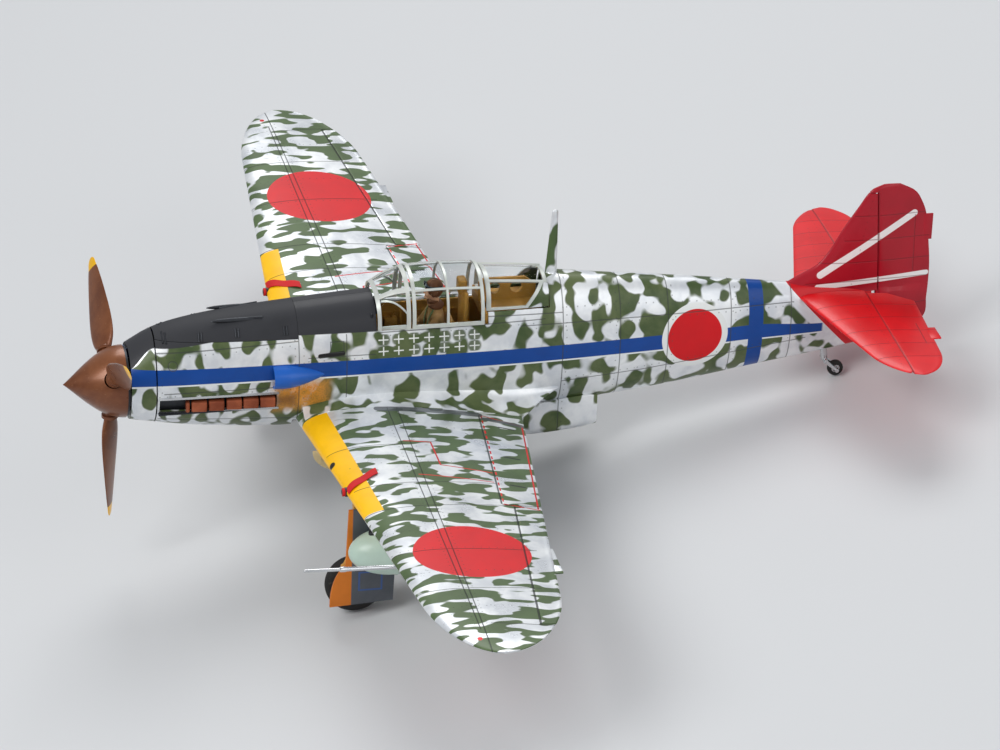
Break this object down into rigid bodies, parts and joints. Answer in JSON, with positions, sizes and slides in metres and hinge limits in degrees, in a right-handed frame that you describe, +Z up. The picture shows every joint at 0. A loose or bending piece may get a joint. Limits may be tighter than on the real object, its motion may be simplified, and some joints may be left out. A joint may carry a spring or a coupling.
{
  "type": "propeller plane model",
  "caption": "Scale display model of a low-wing piston fighter with closed canopy, turning propeller, wheels and control surfaces, wing tanks and mottled finish.",
  "frame": {"origin": "on the floor under the middle of the whole model's bounding box", "axes": "+X to the port (left) wing tip, the nose towards -Y, +Z up; the model stands on its three wheels, nose up by 12.2 degrees"},
  "size_m": [0.25, 0.1852, 0.0587],
  "materials": {
    "camouflage": "satin lacquer over a bright silver base with soft-edged green mottling",
    "silver_underside": "polished silver lacquer with panel lines",
    "polished_metal": "polished silver lacquer",
    "anti_glare_black": "matt charcoal black",
    "propeller_brown": "satin red-brown, yellow blade tips",
    "stripe_blue": "satin blue",
    "tail_red": "satin red",
    "clear_canopy": "clear moulding with pale grey painted frames",
    "cockpit_ochre": "brown ochre, shaded",
    "flying_suit": "brown and tan matt paint",
    "dark_metal": "dark gunmetal",
    "gear_ochre": "ochre with worn edges",
    "door_grey": "dark grey and orange, bright rim",
    "tyre_black": "dark rubber-like grey, silver hub",
    "tank_grey_green": "satin pale grey-green",
    "exhaust_rust": "rust-brown heat-stained metal"
  },
  "bodies": {
    "airframe": {"antenna_mast": "camouflage", "cockpit_floor": "cockpit_ochre", "control_stick": "dark_metal", "drop_tank_left": "tank_grey_green", "drop_tank_right": "tank_grey_green", "engine_cowl": "anti_glare_black", "exhaust_stubs_left": "exhaust_rust", "exhaust_stubs_right": "exhaust_rust", "fin": "tail_red", "fuselage_left": "camouflage", "fuselage_right": "camouflage", "head_armour": "cockpit_ochre", "inner_gear_door_left": "gear_ochre", "inner_gear_door_right": "gear_ochre", "instrument_panel": "dark_metal", "main_gear_door_left": "door_grey", "main_gear_door_right": "door_grey", "main_gear_leg_left": "gear_ochre", "main_gear_leg_right": "gear_ochre", "nose_ring": "polished_metal", "pilot_figure": "flying_suit", "pilot_seat": "cockpit_ochre", "pitot_tube": "polished_metal", "radiator_core": "dark_metal", "radiator_housing": "camouflage", "rear_canopy": "clear_canopy", "rear_deck": "cockpit_ochre", "supercharger_intake": "stripe_blue", "tail_wheel_fork": "polished_metal", "tailplane_left": "tail_red", "tailplane_right": "tail_red", "tank_rack_left": "camouflage", "tank_rack_right": "camouflage", "windscreen": "clear_canopy", "wing_fillet_left": "camouflage", "wing_fillet_right": "camouflage", "wing_gun_left": "dark_metal", "wing_gun_right": "dark_metal", "wing_lower_left": "silver_underside", "wing_lower_right": "silver_underside", "wing_upper_left": "camouflage", "wing_upper_right": "camouflage"},
    "propeller": {"spinner": "propeller_brown", "propeller_shaft": "dark_metal", "propeller_blade_1": "propeller_brown", "propeller_blade_2": "propeller_brown", "propeller_blade_3": "propeller_brown"},
    "left_wheel": {"main_wheel_left": "tyre_black"},
    "right_wheel": {"main_wheel_right": "tyre_black"},
    "tail_wheel": {"tail_wheel": "tyre_black"},
    "canopy": {"sliding_canopy": "clear_canopy"},
    "left_aileron": {"aileron_left": "camouflage"},
    "right_aileron": {"aileron_right": "camouflage"},
    "left_flap": {"flap_left": "camouflage"},
    "right_flap": {"flap_right": "camouflage"},
    "elevators": {"elevator_left": "tail_red", "elevator_right": "tail_red"},
    "rudder": {"rudder": "tail_red"}
  },
  "joints": [
    {"name": "propeller_spin", "type": "hinge", "parent": "airframe", "child": "propeller", "pos_m": [0, -0.09264, 0.04486], "axis": [0, 0.9774, -0.2113], "continuous": true},
    {"name": "left_wheel_spin", "type": "hinge", "parent": "airframe", "child": "left_wheel", "pos_m": [0.0421, -0.04585, 0.0062], "axis": [1, 0, 0], "continuous": true},
    {"name": "right_wheel_spin", "type": "hinge", "parent": "airframe", "child": "right_wheel", "pos_m": [-0.0421, -0.04585, 0.0062], "axis": [1, 0, 0], "continuous": true},
    {"name": "tail_wheel_spin", "type": "hinge", "parent": "airframe", "child": "tail_wheel", "pos_m": [0, 0.06792, 0.00173], "axis": [1, 0, 0], "continuous": true},
    {"name": "canopy_slide", "type": "slide", "parent": "airframe", "child": "canopy", "axis": [0, 0.9774, -0.2113], "range_m": [0, 0.0122]},
    {"name": "left_aileron_hinge", "type": "hinge", "parent": "airframe", "child": "left_aileron", "pos_m": [0.0609, -0.01274, 0.02446], "axis": [0.9889, -0.103, 0.1073], "range_deg": [-20, 20]},
    {"name": "right_aileron_hinge", "type": "hinge", "parent": "airframe", "child": "right_aileron", "pos_m": [-0.0609, -0.01274, 0.02446], "axis": [0.9889, 0.103, -0.1073], "range_deg": [-20, 20]},
    {"name": "left_flap_hinge", "type": "hinge", "parent": "airframe", "child": "left_flap", "pos_m": [0.0124, -0.01067, 0.01987], "axis": [-0.9903, 0.0916, -0.1045], "range_deg": [0, 40]},
    {"name": "right_flap_hinge", "type": "hinge", "parent": "airframe", "child": "right_flap", "pos_m": [-0.0124, -0.01067, 0.01987], "axis": [-0.9903, -0.0916, 0.1045], "range_deg": [0, 40]},
    {"name": "elevator_hinge", "type": "hinge", "parent": "airframe", "child": "elevators", "pos_m": [0, 0.07624, 0.01868], "axis": [1, 0, 0], "range_deg": [-20, 25]},
    {"name": "rudder_hinge", "type": "hinge", "parent": "airframe", "child": "rudder", "pos_m": [0, 0.07818, 0.00731], "axis": [0, 0.1529, 0.9882], "range_deg": [-28, 28]}
  ],
  "couplings": [
    {"joint": "right_aileron_hinge", "follows": "left_aileron_hinge", "ratio": -1},
    {"joint": "right_flap_hinge", "follows": "left_flap_hinge", "ratio": 1}
  ]
}
